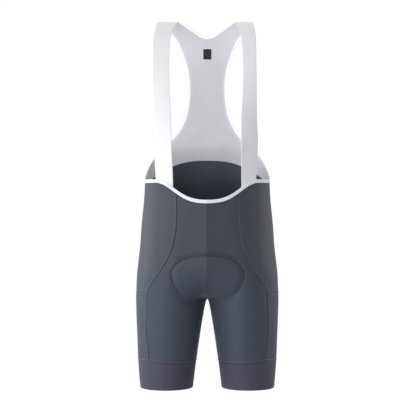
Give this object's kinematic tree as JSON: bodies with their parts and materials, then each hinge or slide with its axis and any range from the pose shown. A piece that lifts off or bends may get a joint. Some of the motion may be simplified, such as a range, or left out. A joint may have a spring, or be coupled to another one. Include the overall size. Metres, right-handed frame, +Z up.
{
  "type": "cycling bib shorts",
  "caption": "Cycling bib shorts with a racer-back mesh bib, flat elastic shoulder straps, a dipped front waist, a seat pad and deep gripper leg bands, filled out as worn.",
  "frame": {"origin": "midway between the two shoulder folds, at their top, where the wearer's shoulders hold the straps", "axes": "+Z up, -Y the front of the garment, +X the wearer's left"},
  "size_m": [0.3558, 0.247, 0.911],
  "materials": {
    "grey_knit": "smooth matt stretch knit with a faint sheen",
    "grey_band": "denser matt stretch knit",
    "white_binding": "soft folded elastic binding",
    "white_elastic": "smooth flat woven elastic",
    "white_mesh": "fine matt mesh knit",
    "label": "smooth satin ribbon",
    "pad_foam": "brushed knit over foam"
  },
  "bodies": {
    "root": {"front_panel_left": "grey_knit", "front_panel_right": "grey_knit", "hip_panel_left": "grey_knit", "hip_panel_right": "grey_knit", "thigh_panel_left": "grey_knit", "thigh_panel_right": "grey_knit", "leg_band_left": "grey_band", "leg_band_right": "grey_band", "waist_binding": "white_binding", "strap_left": "white_elastic", "strap_right": "white_elastic", "back_bib": "white_mesh", "neck_label": "label", "seat_pad": "pad_foam"}
  },
  "joints": []
}
